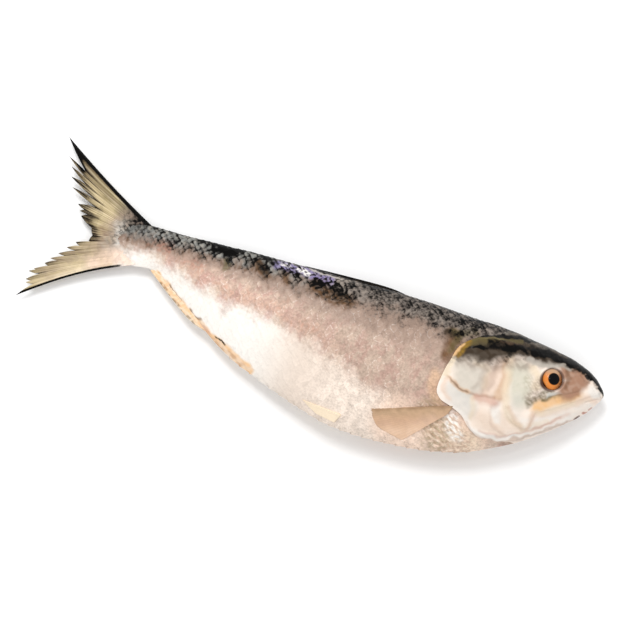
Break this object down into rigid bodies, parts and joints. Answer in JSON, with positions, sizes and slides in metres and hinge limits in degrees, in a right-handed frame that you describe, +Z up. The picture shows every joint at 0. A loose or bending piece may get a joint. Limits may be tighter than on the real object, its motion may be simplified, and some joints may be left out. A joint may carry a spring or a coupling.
{
  "type": "whole raw fish",
  "caption": "Whole raw silvery fish with forked tail, lying on its side: deep keeled body, gill covers, eyes and folded fins.",
  "frame": {"origin": "on the surface the fish lies on, under the middle of its bounding box", "axes": "+X towards the head, +Y towards the back, +Z up through the right flank"},
  "size_m": [0.414, 0.14, 0.0478],
  "materials": {
    "fish_skin": "wet scaled skin, silvery flank with a near-black back and a cream belly",
    "fish_eye": "glossy amber iris round a black pupil"
  },
  "bodies": {
    "root": {"fish": "fish_skin", "eye_right": "fish_eye", "eye_left": "fish_eye"}
  },
  "joints": []
}
